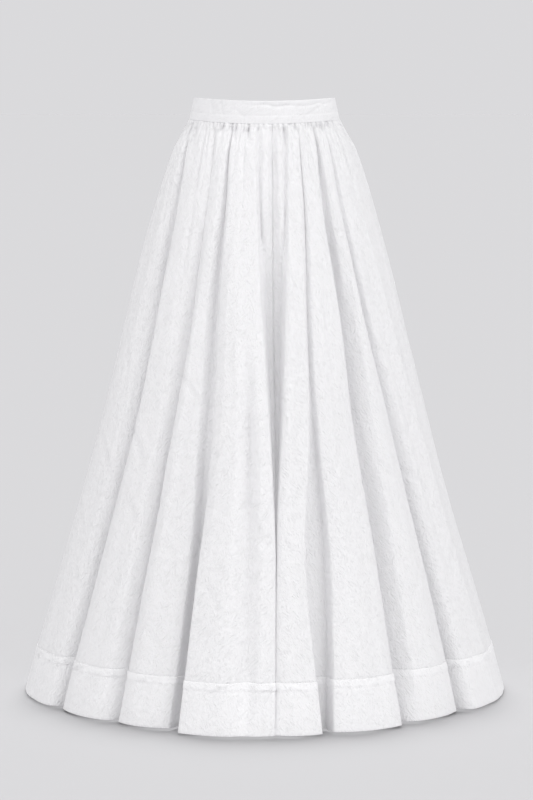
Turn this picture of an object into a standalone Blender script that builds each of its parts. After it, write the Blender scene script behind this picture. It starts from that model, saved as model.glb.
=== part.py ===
"""A gathered, flared lehenga skirt in plain cotton, hollow and filled out as worn.

Metres, +Z up, front towards -Y. The origin is the centre of the waist, halfway up the waistband.
The four panels and the four pieces of the hem band lie on one surface: an oval ring that widens
downwards, pushed in along the valleys between the folds. A place on it is a lobe (the cloth
between two valleys), a share u across that lobe, and a drop below the gathered seam.
"""

import math

import bpy
from mathutils import Vector

SEAM_GAP = 0.0003
WAIST_GAP = 0.0009  # a seam gap and room for the waistband's inner edge, which its lean lowers
PANEL_THICK = 0.0015
HEM_THICK = 0.0022
HEM_LIFT = 0.0004
BAND_THICK = 0.0026

# Waistband: a straight strip that leans in a little towards its top edge
BAND_TOP = {"z": 0.0190, "half_width": 0.1206, "half_depth": 0.0945}
BAND_BOTTOM = {"z": -0.0185, "half_width": 0.1282, "half_depth": 0.1005}
TOP_DIP = 0.0055
BOTTOM_DIP = 0.0070
BAND_COLUMNS = 72
BAND_ROWS = 2

# Drops below the gathered seam, down the cloth's height
HEM_DROP = 0.979
HEM_SEAM_DROP = 0.898
HEM_HEIGHT = BAND_BOTTOM["z"] - HEM_DROP
MIDDLE = 0.45
PANEL_ROWS = (0.0, 0.012, 0.036, 0.075, 0.130, 0.200, 0.290, 0.400, 0.525, 0.660, 0.785, HEM_SEAM_DROP)

# The ring that the crests of the folds touch
OUTLINE = (
    # drop, half width, half depth
    (0.000, 0.1300, 0.1005),
    (0.018, 0.1400, 0.1090),
    (0.052, 0.1590, 0.1260),
    (0.120, 0.1835, 0.1530),
    (0.223, 0.2140, 0.1900),
    (0.395, 0.2565, 0.2450),
    (0.638, 0.3200, 0.3180),
    (0.778, 0.3605, 0.3620),
    (0.919, 0.4020, 0.4095),
    (0.979, 0.4180, 0.4300),
)

# Each row is a lobe and the valley before it, turning from centre front towards the wearer's left
LOBES = (
    # valley's turn in degrees at waist, middle and hem; its depth at middle and hem; how much it
    # is pinched; how flat its floor is; how far the lobe's crest stands off the ring at the hem;
    # gathers at the waist
    (5.5, 4.1, 2.3, 0.030, 0.006, 0.95, 0.00, 0.001, 1),
    (24.5, 17.5, 14.6, 0.016, 0.044, 0.95, 0.30, -0.006, 2),
    (37.5, 35.3, 35.6, 0.040, 0.056, 0.75, 0.10, -0.022, 2),
    (46.5, 50.5, 57.0, 0.025, 0.052, 0.75, 0.20, 0.003, 4),
    (78.5, 95.0, 110.0, 0.024, 0.050, 0.70, 0.20, -0.006, 2),
    (99.0, 111.0, 125.0, 0.018, 0.044, 0.60, 0.10, -0.012, 2),
    (118.0, 126.0, 136.0, 0.026, 0.056, 0.80, 0.30, -0.008, 2),
    (139.0, 147.0, 154.0, 0.014, 0.038, 0.55, 0.00, 0.000, 2),
    (160.0, 165.0, 169.0, 0.024, 0.054, 0.85, 0.30, 0.004, 2),
    (181.0, 182.0, 184.0, 0.028, 0.044, 0.80, 0.10, 0.003, 2),
    (205.0, 203.0, 203.0, 0.012, 0.050, 0.70, 0.20, -0.006, 2),
    (222.5, 221.5, 219.2, 0.025, 0.052, 0.80, 0.00, -0.014, 2),
    (243.0, 242.0, 236.5, 0.018, 0.040, 0.55, 0.10, -0.005, 2),
    (265.0, 262.5, 250.0, 0.028, 0.052, 0.70, 0.20, 0.003, 3),
    (297.0, 305.0, 299.6, 0.034, 0.058, 0.75, 0.15, -0.018, 2),
    (323.5, 325.5, 321.0, 0.028, 0.054, 0.80, 0.10, -0.020, 1),
    (336.0, 339.0, 338.6, 0.026, 0.052, 0.90, 0.15, 0.008, 2),
)

# Small gathers under the waistband: how deep, how far down they run as a share of the drop,
# and how unevenly, in turns of a sine from lobe to lobe and across each lobe
GATHER_DEPTH = 0.0042
GATHER_RUN = 0.34
GATHER_UNEVEN = 0.3
GATHER_BY_LOBE = 2.4
GATHER_ACROSS = 5.0

NORMAL_STEP = 0.002  # share of a lobe, and metres of drop, between the points a normal is taken from
MIN_COLUMNS = 8
COLUMNS_PER_GATHER = 4

# Quarters as worn, each from one seam valley to the next
QUARTERS = (
    # name, first lobe, lobe after the last
    ("front_left", 0, 4),
    ("back_left", 4, 9),
    ("back_right", 9, 13),
    ("front_right", 13, 17),
)
CLOSURE_TURN = 80.0

COTTON = {"colour": (0.90, 0.90, 0.92, 1.0), "roughness": 0.9}
DOUBLED_COTTON = {"colour": (0.93, 0.93, 0.95, 1.0), "roughness": 0.88}


def smooth(t):
    """Ease from 0 to 1 as t goes from 0 to 1."""
    t = min(max(t, 0.0), 1.0)
    return t * t * (3.0 - 2.0 * t)


def through(share, top, middle, bottom):
    """The value at a share of the drop, on a parabola through three values."""
    first = (middle - top) / MIDDLE
    second = (bottom - middle) / (1.0 - MIDDLE)
    return top + first * share + (second - first) * share * (share - MIDDLE)


def outline_at(drop):
    """Half width and half depth of the crests' ring, on a smooth curve through OUTLINE."""
    last = len(OUTLINE) - 2
    i = max(k for k in range(last + 1) if k == 0 or OUTLINE[k][0] <= drop)
    low, high = OUTLINE[i], OUTLINE[i + 1]
    before = OUTLINE[max(i - 1, 0)]
    after = OUTLINE[min(i + 2, last + 1)]
    span = high[0] - low[0]
    t = min(max((drop - low[0]) / span, 0.0), 1.0)
    sizes = []
    for side in (1, 2):
        slope_low = (high[side] - before[side]) / (high[0] - before[0]) * span
        slope_high = (after[side] - low[side]) / (after[0] - low[0]) * span
        sizes.append(
            low[side] * (2 * t**3 - 3 * t**2 + 1)
            + slope_low * (t**3 - 2 * t**2 + t)
            + high[side] * (3 * t**2 - 2 * t**3)
            + slope_high * (t**3 - t**2)
        )
    return sizes


def valley_at(index, share):
    """Turn in radians, depth, pinch and floor of a valley at a share of the drop."""
    waist, middle, hem, depth_middle, depth_hem, pinch, floor = LOBES[index % len(LOBES)][:7]
    turn = through(share, waist, middle, hem) + 360.0 * (index // len(LOBES))
    depth = through(share, GATHER_DEPTH, depth_middle, depth_hem)
    grown = smooth(share)
    return math.radians(turn), max(depth, GATHER_DEPTH), pinch * grown, floor * grown


def gather_at(lobe, u, share):
    """How far the small gathers under the waistband push the cloth in."""
    count = LOBES[lobe % len(LOBES)][8]
    if count == 1:
        return 0.0
    run = GATHER_RUN * (1.0 + GATHER_UNEVEN * math.sin(GATHER_BY_LOBE * lobe + GATHER_ACROSS * u))
    fade = 1.0 - smooth(share / run)
    return GATHER_DEPTH * fade * (0.5 + 0.5 * math.cos(2.0 * math.pi * count * u))


def cloth_point(lobe, u, drop):
    """A point of the cloth's outer face."""
    share = drop / HEM_DROP
    half_width, half_depth = outline_at(drop)
    turn_a, depth_a, pinch_a, floor_a = valley_at(lobe, share)
    turn_b, depth_b, pinch_b, floor_b = valley_at(lobe + 1, share)
    across = smooth(u)
    pinch = pinch_a + (pinch_b - pinch_a) * across
    floor = floor_a + (floor_b - floor_a) * across
    depth = depth_a + (depth_b - depth_a) * across
    wave = 2.0 * math.pi * u
    shift = (floor * math.sin(2.0 * wave) / 2.0 - pinch * math.sin(wave)) / (2.0 * math.pi)
    turn = turn_a + (turn_b - turn_a) * (u + shift)
    inset = depth * (0.5 + 0.5 * math.cos(wave)) + gather_at(lobe, u, share)
    stand_off = LOBES[lobe % len(LOBES)][7] * share * math.sin(math.pi * u) ** 2
    outward = Vector((math.sin(turn) / half_width, -math.cos(turn) / half_depth, 0.0)).normalized()
    on_ring = Vector((half_width * math.sin(turn), -half_depth * math.cos(turn), 0.0))
    point = on_ring + outward * (stand_off - inset)
    point.z = seam_height(turn) + (HEM_HEIGHT - seam_height(turn)) * share
    return point


def seam_height(turn):
    """Height of the waistband's lower edge, which dips at the front and back."""
    return BAND_BOTTOM["z"] - BOTTOM_DIP * math.cos(turn) ** 2


def lifted_point(lobe, u, drop, lift):
    """A point of the outer face, moved out along the cloth's own normal."""
    along = cloth_point(lobe, u + NORMAL_STEP, drop) - cloth_point(lobe, u - NORMAL_STEP, drop)
    down = cloth_point(lobe, u, drop + NORMAL_STEP) - cloth_point(lobe, u, drop - NORMAL_STEP)
    return cloth_point(lobe, u, drop) + down.cross(along).normalized() * lift


def columns_of(first, end):
    """Places across a quarter's lobes, seam to seam, as lobe and share pairs."""
    places = []
    for lobe in range(first, end):
        count = max(MIN_COLUMNS, COLUMNS_PER_GATHER * LOBES[lobe][8])
        places += [(lobe, k / count) for k in range(count)]
    return places + [(end - 1, 1.0)]


def cotton(name, look):
    """A plain cotton material."""
    material = bpy.data.materials.new(name)
    material.use_nodes = True
    shader = material.node_tree.nodes["Principled BSDF"]
    shader.inputs["Base Color"].default_value = look["colour"]
    shader.inputs["Roughness"].default_value = look["roughness"]
    shader.inputs["Metallic"].default_value = 0.0
    return material


def cloth_piece(name, rows, thick, look, collection):
    """A sheet lofted through rows of points, with a wall grown inwards from it."""
    width = len(rows[0])
    points = [point for row in rows for point in row]
    faces = []
    for j in range(len(rows) - 1):
        for i in range(width - 1):
            corner = j * width + i
            faces.append((corner, corner + width, corner + width + 1, corner + 1))
    mesh = bpy.data.meshes.new(name)
    mesh.from_pydata(points, [], faces)
    mesh.shade_smooth()
    piece = bpy.data.objects.new(name, mesh)
    collection.objects.link(piece)
    wall = piece.modifiers.new("Wall", "SOLIDIFY")
    wall.thickness = thick
    wall.offset = -1.0
    wall.use_even_offset = False
    mesh.materials.append(cotton(name, look))
    return piece


def seamed_row(places, drop, lift):
    """One row of a quarter, held half a seam gap short of the valley at each end."""
    row = [lifted_point(lobe, u, drop, lift) for lobe, u in places]
    for end, (lobe, u), side in ((0, places[0], 1.0), (-1, places[-1], -1.0)):
        turn = valley_at(lobe + round(u), drop / HEM_DROP)[0]
        row[end] += Vector((math.cos(turn), math.sin(turn), 0.0)) * side * SEAM_GAP / 2
    return row


def make_panel(name, first, end, collection):
    """A skirt panel, from the gathered seam to the hem band."""
    places = columns_of(first, end)
    drops = (WAIST_GAP,) + PANEL_ROWS[1:]
    rows = [seamed_row(places, drop, 0.0) for drop in drops]
    return cloth_piece("panel_" + name, rows, PANEL_THICK, COTTON, collection)


def make_hem(name, first, end, collection):
    """A piece of the doubled hem band, a little proud of the panel above it."""
    places = columns_of(first, end)
    drops = (HEM_SEAM_DROP + SEAM_GAP, HEM_DROP)
    rows = [seamed_row(places, drop, HEM_LIFT) for drop in drops]
    return cloth_piece("hem_" + name, rows, HEM_THICK, DOUBLED_COTTON, collection)


def make_waistband(collection):
    """The waistband, a strip that meets itself at the closure on the wearer's left."""
    gap_turn = SEAM_GAP / BAND_BOTTOM["half_depth"]
    start = math.radians(CLOSURE_TURN) + gap_turn / 2
    sweep = 2.0 * math.pi - gap_turn
    rows = []
    for j in range(BAND_ROWS + 1):
        t = j / BAND_ROWS
        half_width = BAND_TOP["half_width"] + (BAND_BOTTOM["half_width"] - BAND_TOP["half_width"]) * t
        half_depth = BAND_TOP["half_depth"] + (BAND_BOTTOM["half_depth"] - BAND_TOP["half_depth"]) * t
        row = []
        for i in range(BAND_COLUMNS + 1):
            turn = start + sweep * i / BAND_COLUMNS
            top = BAND_TOP["z"] - TOP_DIP * math.cos(turn) ** 2
            z = top + (seam_height(turn) - top) * t
            row.append(Vector((half_width * math.sin(turn), -half_depth * math.cos(turn), z)))
        rows.append(row)
    return cloth_piece("waistband", rows, BAND_THICK, DOUBLED_COTTON, collection)


def main():
    for old in list(bpy.data.objects):
        bpy.data.objects.remove(old)
    collection = bpy.data.collections.new("lehenga_skirt")
    bpy.context.scene.collection.children.link(collection)
    make_waistband(collection)
    for name, first, end in QUARTERS:
        make_panel(name, first, end, collection)
        make_hem(name, first, end, collection)


main()
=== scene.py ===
import math
import random

import bpy
import numpy as np
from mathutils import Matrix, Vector, noise


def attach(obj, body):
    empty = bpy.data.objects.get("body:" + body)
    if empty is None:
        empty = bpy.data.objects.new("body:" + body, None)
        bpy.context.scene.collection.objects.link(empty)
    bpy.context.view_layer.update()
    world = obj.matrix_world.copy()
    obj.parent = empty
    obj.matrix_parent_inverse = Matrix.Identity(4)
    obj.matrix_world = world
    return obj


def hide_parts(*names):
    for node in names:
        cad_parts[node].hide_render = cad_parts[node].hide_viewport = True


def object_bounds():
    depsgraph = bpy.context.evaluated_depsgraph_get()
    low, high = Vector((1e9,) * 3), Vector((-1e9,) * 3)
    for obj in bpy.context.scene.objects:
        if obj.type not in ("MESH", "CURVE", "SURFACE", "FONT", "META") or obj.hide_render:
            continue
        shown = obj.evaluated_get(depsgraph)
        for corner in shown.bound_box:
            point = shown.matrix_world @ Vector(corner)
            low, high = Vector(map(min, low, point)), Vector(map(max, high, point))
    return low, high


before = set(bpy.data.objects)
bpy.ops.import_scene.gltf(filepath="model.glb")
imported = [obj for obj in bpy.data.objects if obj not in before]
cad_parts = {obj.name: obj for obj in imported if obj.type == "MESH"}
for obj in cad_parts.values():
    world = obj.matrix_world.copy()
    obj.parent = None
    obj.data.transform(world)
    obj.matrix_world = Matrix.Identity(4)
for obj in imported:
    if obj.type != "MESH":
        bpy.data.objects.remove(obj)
cadLow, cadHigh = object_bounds()
bpy.ops.object.select_all(action="DESELECT")
print("frame loaded")

# The skirt is one oval ring that widens downwards. Its cloth stands in folds with a valley
# between each two. A place on it is a fold, a share of the way across from valley to valley
# and a drop below the gathered seam. The ring and the folds follow the solids, in finer steps.
fall = {
    "seamHeight": -0.0185,
    "seamDip": 0.0070,
    "hemDrop": 0.979,
    "hemSeamDrop": 0.898,
    "columns": 900,
    "fewestColumns": 34,
    "bulge": 0.085,  # how round a fold's face is, as a share of its width at the hem
    "widestBulge": 0.11,
    "cornerColumns": 0.016,  # how much closer the columns stand round a tight edge
    "sharedOutAt": (0.85, 0.87),  # shares of the drop where the cloth in each fold is measured
    "marksAt": (0.78, 0.80),  # and where the columns are, for marks that run down with them
    "samples": 240,
    "calming": 12,
    "edgeLead": 0.0025,  # a fold's face holds this far before it turns in, or for this share
    "edgeShare": 0.8,  # of how soft its edge is, if that is less
    "bulgeShare": 0.9,  # the share of the drop where the faces are fully round
    "bulgeBase": 0.7,
    "tighterUntil": 0.14,  # edges are tighter down to this share of the drop
    "softerFrom": 0.25,  # they change from their upper softness to their lower one from here
    "softerRun": 0.45,
}
fall["hemHeight"] = fall["seamHeight"] - fall["hemDrop"]

outlineRows = np.array([
    # drop, half width, half depth
    (-0.003, 0.1270, 0.0993),
    (0.000, 0.1293, 0.1014),
    (0.005, 0.1312, 0.1030),
    (0.018, 0.1378, 0.1084),
    (0.052, 0.1566, 0.1250),
    (0.120, 0.1812, 0.1522),
    (0.223, 0.2118, 0.1890),
    (0.395, 0.2545, 0.2440),
    (0.638, 0.3182, 0.3170),
    (0.778, 0.3588, 0.3610),
    (0.919, 0.4005, 0.4085),
    (0.979, 0.4165, 0.4290),
])

# Every fold is placed at these shares of the drop
stations = np.array([0.0, 0.05, 0.14, 0.30, 0.50, 0.72, 1.0])

# A fold's left edge and right edge in degrees round the waist from the centre front, at each
# station; then the depth of the valley before it in millimetres, at each station; how far the
# fold stands out at the hem; and how soft its left and right edges are, near the top and at
# the hem. They go round from the fold just right of the centre front.
foldRows = [
    # centre
    ((18.0, 15.1, 12.4, 8.9, 6.1, 3.5, 2.5), (25.4, 22.4, 20.5, 17.5, 15.6, 11.8, 13.2),
     (3, 6, 9, 30, 27, 7, 2), 2, (2.0, 1.2), (4.0, 1.4)),
    # first to the right
    ((27.2, 24.0, 22.5, 19.9, 18.5, 19.0, 16.0), (38.8, 35.0, 31.6, 32.8, 33.4, 34.8, 34.0),
     (2, 5, 8, 12, 17, 32, 44), -6, (4.0, 1.2), (3.0, 2.0)),
    # second to the right
    ((41.0, 38.0, 37.2, 37.6, 37.0, 37.5, 36.5), (50.0, 46.3, 44.2, 46.7, 51.6, 55.1, 55.8),
     (4, 11, 18, 34, 43, 50, 56), -22, (5.0, 9.0), (4.0, 2.4)),
    # third to the right, round to the side seam
    ((51.4, 47.0, 45.2, 48.0, 53.4, 57.0, 58.0), (76.0, 80.0, 84.0, 89.0, 94.0, 99.0, 107.0),
     (2, 5, 9, 18, 27, 40, 52), -3, (6.0, 8.0), (9.0, 12.0)),
    # the back, from the left side seam
    ((80.0, 84.0, 88.0, 93.0, 98.5, 104.0, 112.5), (97.5, 99.0, 101.0, 104.5, 110.5, 116.0, 123.5),
     (4, 8, 12, 18, 26, 36, 50), -6, (8.0, 11.0), (7.0, 5.0)),
    ((100.5, 102.0, 104.0, 107.5, 113.5, 119.0, 127.0), (117.0, 118.0, 119.0, 121.0, 125.5, 129.5, 134.5),
     (3, 7, 10, 14, 20, 32, 44), -12, (5.0, 4.0), (7.0, 9.0)),
    ((119.5, 120.5, 121.5, 124.0, 128.5, 132.5, 138.0), (138.0, 139.0, 140.0, 142.0, 146.5, 149.5, 152.5),
     (4, 10, 14, 20, 28, 40, 56), -8, (4.0, 3.0), (8.0, 7.0)),
    ((140.5, 141.5, 142.5, 145.0, 149.5, 152.5, 156.0), (159.0, 159.5, 160.0, 161.5, 165.0, 166.0, 167.5),
     (3, 6, 8, 11, 16, 26, 38), 0, (8.0, 9.0), (5.0, 3.0)),
    ((161.5, 162.0, 162.5, 164.0, 167.5, 169.0, 171.0), (180.0, 180.0, 180.0, 180.5, 181.0, 182.0, 182.5),
     (4, 10, 14, 19, 26, 38, 54), 4, (4.0, 3.0), (4.0, 3.0)),
    ((182.5, 182.5, 182.5, 183.0, 184.0, 185.0, 186.0), (204.0, 203.5, 203.0, 202.0, 201.5, 201.5, 201.5),
     (4, 11, 15, 20, 28, 36, 44), 3, (4.0, 4.0), (8.0, 9.0)),
    ((206.5, 206.0, 205.5, 205.0, 205.0, 205.0, 205.0), (221.0, 221.0, 221.0, 220.5, 219.5, 218.5, 217.5),
     (3, 5, 7, 10, 16, 28, 50), -6, (7.0, 5.0), (5.0, 3.0)),
    ((223.5, 224.0, 224.0, 223.5, 222.5, 222.0, 221.0), (239.5, 241.0, 242.0, 241.0, 239.5, 237.5, 234.5),
     (4, 10, 14, 19, 27, 38, 52), -14, (8.0, 11.0), (6.0, 5.0)),
    ((242.5, 244.5, 246.0, 245.5, 243.5, 241.5, 238.5), (259.5, 263.0, 264.0, 262.0, 258.0, 253.5, 247.5),
     (3, 7, 9, 13, 20, 30, 40), -5, (6.0, 5.0), (9.0, 12.0)),
    # the front again, from the right side seam
    ((263.5, 268.0, 270.0, 268.5, 264.5, 259.5, 252.5), (284.5, 298.5, 302.4, 303.0, 303.8, 301.0, 298.5),
     (3, 9, 14, 24, 30, 40, 52), -6, (9.0, 12.0), (9.0, 12.0)),
    ((287.6, 300.8, 307.4, 307.4, 306.1, 303.2, 300.7), (317.4, 324.4, 326.0, 324.8, 323.6, 321.2, 320.2),
     (4, 11, 17, 29, 36, 46, 58), -18, (3.0, 2.4), (8.0, 10.0)),
    ((321.8, 327.1, 328.9, 328.0, 325.6, 322.9, 321.8), (334.6, 335.6, 336.6, 335.6, 336.8, 338.0, 337.0),
     (4, 7, 11, 23, 30, 42, 54), -20, (7.0, 2.6), (6.0, 2.2)),
    ((337.0, 338.2, 340.4, 340.4, 342.0, 341.3, 340.2), (353.8, 354.9, 356.4, 359.3, 362.0, 363.0, 362.1),
     (4, 8, 13, 23, 27, 40, 52), 8, (3.0, 2.4), (2.4, 1.2)),
]
foldCount = len(foldRows)

# Gathers that run down from the seam: degrees round at the seam and where they settle, start
# and end as shares of the drop, depth and half width in millimetres
gatherRows = [
    # round the centre
    (-0.4, 0.6, -0.05, 0.04, 3.4, 1.8),
    (2.9, 2.3, -0.05, 0.03, 3.0, 1.6),
    (6.5, 4.3, -0.05, 0.26, 1.6, 2.2),
    (9.6, 8.8, -0.05, 0.06, 2.6, 2.0),
    (14.2, 10.4, -0.05, 0.12, 3.0, 2.4),
    # to the left
    (-9.3, -7.6, -0.05, 0.06, 2.8, 2.0),
    (-12.5, -9.3, -0.05, 0.10, 3.6, 2.2),
    (-15.0, -11.6, -0.05, 0.24, 4.2, 2.8),
    (-18.2, -16.6, -0.05, 0.12, 4.2, 2.2),
    (-21.8, -16.9, -0.05, 0.15, 3.4, 2.8),
    (-28.4, -24.6, -0.05, 0.10, 2.2, 2.6),
    (-31.6, -27.4, -0.05, 0.06, 2.0, 2.4),
    (-45.6, -37.8, -0.05, 0.12, 3.2, 2.4),
    (-49.4, -40.6, -0.05, 0.20, 4.2, 2.8),
    (-42.6, -39.6, 0.12, 0.48, 3.0, 6.5),
    (-54.5, -46.4, -0.05, 0.08, 2.8, 2.2),
    (-62.0, -53.0, -0.05, 0.09, 4.4, 2.2),
    (-67.0, -57.4, -0.05, 0.06, 2.8, 2.2),
    (-79.5, -62.2, -0.05, 0.10, 4.0, 2.4),
    (-86.0, -72.0, -0.05, 0.20, 4.0, 3.2),
    (-93.0, -82.0, -0.05, 0.26, 4.4, 3.6),
    # to the right
    (20.6, 16.2, -0.05, 0.15, 3.0, 2.4),
    (22.8, 18.6, -0.05, 0.06, 2.4, 2.0),
    (29.9, 26.4, -0.05, 0.14, 3.0, 2.4),
    (33.6, 29.4, -0.05, 0.11, 4.0, 2.4),
    (36.4, 32.4, -0.05, 0.05, 2.4, 2.0),
    (44.6, 40.8, -0.05, 0.12, 3.0, 2.4),
    (47.4, 43.4, -0.05, 0.06, 2.6, 2.0),
    (56.4, 49.6, -0.05, 0.15, 4.0, 2.6),
    (61.0, 52.8, -0.05, 0.12, 3.6, 2.4),
    (66.0, 58.6, -0.05, 0.22, 4.0, 3.2),
    (71.5, 66.0, -0.05, 0.10, 3.2, 2.6),
    # round the back
    (84.5, 88.0, -0.05, 0.10, 3.4, 2.6),
    (89.0, 93.5, -0.05, 0.26, 4.2, 3.2),
    (93.5, 97.0, -0.05, 0.12, 3.4, 2.6),
    (105.0, 107.5, -0.05, 0.22, 4.0, 3.0),
    (109.0, 110.5, -0.05, 0.09, 3.0, 2.4),
    (113.0, 114.0, -0.05, 0.15, 3.6, 2.6),
    (123.5, 125.5, -0.05, 0.12, 3.4, 2.6),
    (127.5, 130.5, -0.05, 0.30, 4.4, 3.4),
    (133.0, 135.0, -0.05, 0.14, 3.4, 2.6),
    (144.5, 147.0, -0.05, 0.10, 3.2, 2.4),
    (148.5, 151.0, -0.05, 0.20, 3.8, 3.0),
    (154.0, 156.0, -0.05, 0.28, 4.2, 3.2),
    (166.0, 168.0, -0.05, 0.18, 3.8, 2.8),
    (170.0, 171.5, -0.05, 0.08, 3.0, 2.4),
    (174.5, 175.0, -0.05, 0.30, 4.4, 3.2),
    (187.0, 187.5, -0.05, 0.20, 4.0, 3.0),
    (191.0, 191.0, -0.05, 0.10, 3.2, 2.4),
    (195.5, 195.0, -0.05, 0.26, 4.0, 3.2),
    (200.0, 199.5, -0.05, 0.12, 3.2, 2.6),
    (210.0, 209.5, -0.05, 0.22, 4.0, 3.0),
    (214.5, 214.0, -0.05, 0.12, 3.4, 2.6),
    (228.0, 229.0, -0.05, 0.24, 4.2, 3.2),
    (232.0, 233.5, -0.05, 0.10, 3.2, 2.4),
    (236.0, 237.0, -0.05, 0.14, 3.4, 2.6),
    (246.5, 250.0, -0.05, 0.12, 3.4, 2.6),
    (250.5, 255.0, -0.05, 0.26, 4.2, 3.2),
    (255.0, 259.0, -0.05, 0.12, 3.2, 2.6),
]

# Ridges that stand in a deep recess and sink into it: degrees round at the seam and where they
# settle, the share of the drop where they are gone, half width in millimetres at both
recessRidges = [
    (0.6, 0.8, 0.25, 8.0, 6.0),
    (12.0, 8.4, 0.34, 7.4, 6.0),
    (109.0, 109.5, 0.20, 6.0, 6.0),
    (181.2, 181.6, 0.22, 5.0, 5.0),
]
# They fill this share of it, and start to sink at this share of the drop
recess = {"filled": 0.92, "sinksFrom": 0.06}

# Softer folds on the faces: fold, place from its left edge to its right at the waist and at
# the hem, start and end as shares of the drop, depth in millimetres (a ridge is negative),
# half width as a share of the fold
softFolds = [
    (16, 0.58, 0.70, 0.34, 1.05, 15.0, 0.100),
    (16, 0.42, 0.46, 0.18, 1.05, -1.8, 0.110),
    (16, 0.84, 0.86, 0.20, 1.05, -1.8, 0.120),
    (0, 0.60, 0.58, 0.20, 0.80, 1.6, 0.160),
    (0, 0.30, 0.28, 0.14, 1.05, -1.6, 0.180),
    (1, 0.30, 0.30, 0.20, 1.05, -2.6, 0.140),
    (1, 0.52, 0.50, 0.18, 0.80, 1.8, 0.090),
    (1, 0.70, 0.68, 0.40, 1.05, 3.6, 0.110),
    (2, 0.62, 0.58, 0.20, 1.05, -3.0, 0.200),
    (3, 0.16, 0.14, 0.14, 0.85, 3.2, 0.060),
    (3, 0.34, 0.26, 0.14, 1.05, -3.0, 0.060),
    (3, 0.52, 0.42, 0.24, 1.05, 2.6, 0.110),
    (3, 0.76, 0.70, 0.30, 1.05, 2.6, 0.120),
    (13, 0.30, 0.30, 0.24, 1.05, 2.6, 0.100),
    (13, 0.62, 0.60, 0.24, 1.05, -2.0, 0.130),
    (14, 0.24, 0.22, 0.20, 1.05, -2.0, 0.140),
    (14, 0.60, 0.60, 0.30, 0.96, 1.6, 0.140),
    (15, 0.30, 0.28, 0.20, 1.05, -2.0, 0.150),
    (15, 0.62, 0.60, 0.36, 0.92, 1.4, 0.130),
    (4, 0.46, 0.50, 0.20, 0.90, 2.6, 0.130),
    (5, 0.34, 0.30, 0.30, 1.05, 2.4, 0.130),
    (6, 0.58, 0.62, 0.24, 1.05, 3.0, 0.110),
    (7, 0.36, 0.42, 0.20, 0.80, 2.2, 0.120),
    (7, 0.66, 0.62, 0.42, 1.05, 2.6, 0.110),
    (8, 0.48, 0.40, 0.24, 1.05, 2.6, 0.130),
    (9, 0.30, 0.36, 0.20, 0.86, 2.4, 0.110),
    (9, 0.64, 0.66, 0.36, 1.05, 2.6, 0.110),
    (10, 0.50, 0.44, 0.20, 1.05, 3.0, 0.120),
    (11, 0.34, 0.30, 0.28, 1.05, 2.4, 0.110),
    (11, 0.68, 0.70, 0.20, 0.78, 2.0, 0.120),
    (12, 0.52, 0.58, 0.24, 1.05, 2.6, 0.140),
]

# Flat turned faces along a fold's edge: fold, side (-1 left, 1 right), start and end as
# shares of the drop, width and depth in millimetres
turnedFaces = [
    (16, -1, 0.16, 0.78, 17, 8.0),
    (0, -1, 0.20, 1.05, 7, 3.0),
    (1, -1, 0.30, 1.05, 8, 1.4),
    (1, 1, 0.36, 1.05, 30, 8.0),
    (14, -1, 0.10, 0.70, 9, 3.0),
    (15, -1, 0.55, 1.05, 16, 5.0),
    (2, -1, 0.20, 1.05, 26, 21.0),
    (3, -1, 0.24, 1.05, 16, 6.0),
    (14, 1, 0.20, 1.05, 20, 8.0),
    (13, 1, 0.20, 1.05, 26, 9.0),
    (8, -1, 0.20, 0.90, 14, 5.0),
    (10, 1, 0.30, 1.05, 16, 6.0),
]

# How soon a fold on a face deepens and fades, as shares of the drop; how softly a turned face
# blends into the fold's own
faceRuns = {"softFold": (0.22, 0.16), "turnedFace": (0.15, 0.15), "blend": 0.02}

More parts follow.
